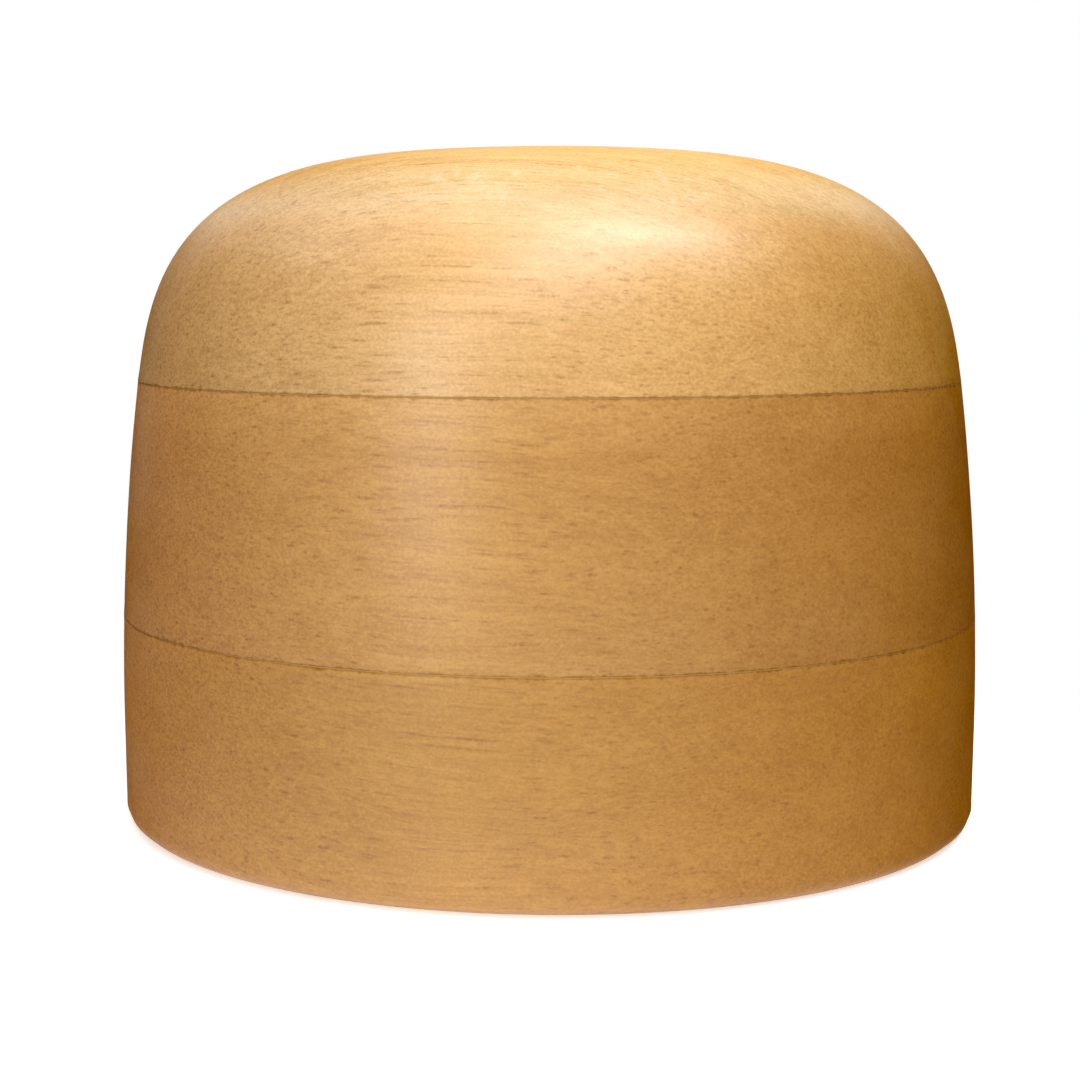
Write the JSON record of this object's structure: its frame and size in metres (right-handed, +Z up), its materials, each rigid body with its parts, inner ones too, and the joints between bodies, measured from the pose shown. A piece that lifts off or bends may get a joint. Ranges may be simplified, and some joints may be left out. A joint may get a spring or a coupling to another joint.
{
  "type": "hat block",
  "caption": "Oval wooden crown block with an inward leaning wall and a domed top, glued up from thick boards, with a blind socket for a stand in its foot.",
  "frame": {"origin": "centre of the flat foot that the block stands on", "axes": "+X along the block's length, towards the front of the head; +Y to the left side of the head; +Z up through the crown"},
  "size_m": [0.198, 0.1642, 0.152],
  "materials": {
    "crown_wood": "satin",
    "middle_wood": "satin",
    "base_wood": "satin",
    "glue": "matt"
  },
  "bodies": {
    "root": {"crown_board": "crown_wood", "middle_board": "middle_wood", "base_board": "base_wood", "upper_glue_line": "glue", "lower_glue_line": "glue"}
  },
  "joints": []
}
